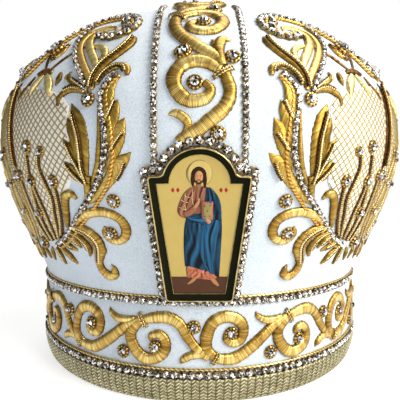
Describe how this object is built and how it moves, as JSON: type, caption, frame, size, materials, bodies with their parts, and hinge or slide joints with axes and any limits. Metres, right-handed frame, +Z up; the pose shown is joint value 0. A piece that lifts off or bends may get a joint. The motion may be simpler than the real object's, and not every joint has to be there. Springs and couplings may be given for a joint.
{
  "type": "bishop mitre",
  "caption": "Bulbous white velvet bishop mitre with an upright head band, gold relief scrollwork, cup chains of clear stones and framed arched plaques.",
  "frame": {"origin": "centre of the rim's bottom plane, where the hat stands", "axes": "+Z up through the crown, the front plaque looks along -Y, +X is the wearer's left"},
  "size_m": [0.2418, 0.2418, 0.1901],
  "materials": {
    "crown_velvet": "short-pile cotton velvet, cool white",
    "band_velvet": "short-pile cotton velvet, cool white",
    "woven_braid": "woven metallic gold braid",
    "gold_thread": "padded metallic gold embroidery",
    "lattice_thread": "thin gold lattice threads over beige ground",
    "cup_chain": "gilt cup chain with clear cut glass stones",
    "crystal": "clear cut glass",
    "gilt_boss": "gilt, satin",
    "frame_metal": "dark olive enamelled cove with a gilt lip",
    "plaque_gilt": "matt gold ground with painted enamel"
  },
  "bodies": {
    "root": {"crown_shell": "crown_velvet", "head_band": "band_velvet", "hem_braid": "woven_braid", "waist_chain": "cup_chain", "hem_chain": "cup_chain", "top_chain": "cup_chain", "top_boss": "gilt_boss", "band_vine": "gold_thread", "panel_vine_front": "gold_thread", "plaque_frame_front": "frame_metal", "plaque_front": "plaque_gilt", "plaque_chain_front": "cup_chain", "edge_chain_front_left": "cup_chain", "edge_chain_front_right": "cup_chain", "panel_vine_right": "gold_thread", "plaque_frame_right": "frame_metal", "plaque_right": "plaque_gilt", "plaque_chain_right": "cup_chain", "edge_chain_right_left": "cup_chain", "edge_chain_right_right": "cup_chain", "panel_vine_back": "gold_thread", "plaque_frame_back": "frame_metal", "plaque_back": "plaque_gilt", "plaque_chain_back": "cup_chain", "edge_chain_back_left": "cup_chain", "edge_chain_back_right": "cup_chain", "panel_vine_left": "gold_thread", "plaque_frame_left": "frame_metal", "plaque_left": "plaque_gilt", "plaque_chain_left": "cup_chain", "edge_chain_left_left": "cup_chain", "edge_chain_left_right": "cup_chain", "corner_spray_front_right": "gold_thread", "corner_spray_back_right": "gold_thread", "corner_spray_back_left": "gold_thread", "corner_spray_front_left": "gold_thread"}
  },
  "joints": []
}
